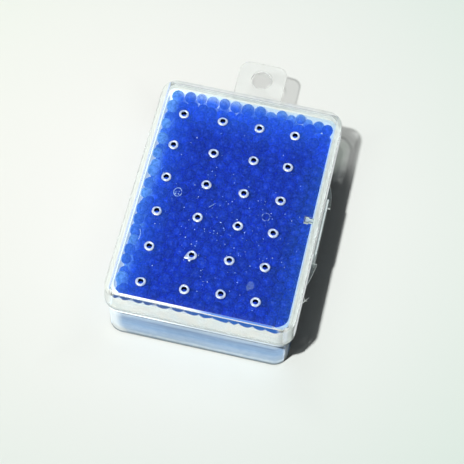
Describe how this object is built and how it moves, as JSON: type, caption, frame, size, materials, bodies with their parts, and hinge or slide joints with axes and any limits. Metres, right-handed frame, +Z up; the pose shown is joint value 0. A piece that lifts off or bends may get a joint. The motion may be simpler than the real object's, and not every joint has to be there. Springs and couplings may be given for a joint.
{
  "type": "desiccant case",
  "caption": "Flat clear plastic case with a hang tab and a vented, hinged, latched lid, filled with loose blue silica gel beads.",
  "frame": {"origin": "centre of the tray's underside, on the surface the case rests on", "axes": "+Z up through the lid, +Y towards the hang tab, +X towards the latch"},
  "size_m": [0.0676, 0.1089, 0.0283],
  "materials": {
    "clear_plastic": "clear moulded polypropylene, slightly hazy",
    "gel": "translucent indicating silica gel beads, glassy"
  },
  "bodies": {
    "case": {"tray": "clear_plastic", "living_hinge": "clear_plastic", "gel_layer_01": "gel", "gel_layer_02": "gel", "gel_layer_03": "gel", "gel_layer_04": "gel", "gel_layer_05": "gel", "gel_layer_06": "gel", "gel_layer_07": "gel", "gel_layer_08": "gel", "gel_layer_09": "gel", "gel_layer_10": "gel", "gel_layer_11": "gel", "gel_layer_12": "gel", "gel_layer_13": "gel", "gel_layer_14": "gel", "gel_layer_15": "gel"},
    "lid": {"lid": "clear_plastic", "latch_flexure": "clear_plastic"},
    "latch": {"latch_tongue": "clear_plastic"}
  },
  "joints": [
    {"name": "lid_hinge", "type": "hinge", "parent": "case", "child": "lid", "pos_m": [-0.0331, 0, 0.0179], "axis": [0, -1, 0], "range_deg": [0, 180], "deforming": ["living_hinge"]},
    {"name": "latch_flex", "type": "hinge", "parent": "lid", "child": "latch", "pos_m": [0.0325, 0, 0.02325], "axis": [0, -1, 0], "range_deg": [0, 14], "stiffness_Nm_per_rad": 0.05, "deforming": ["latch_flexure"]}
  ]
}
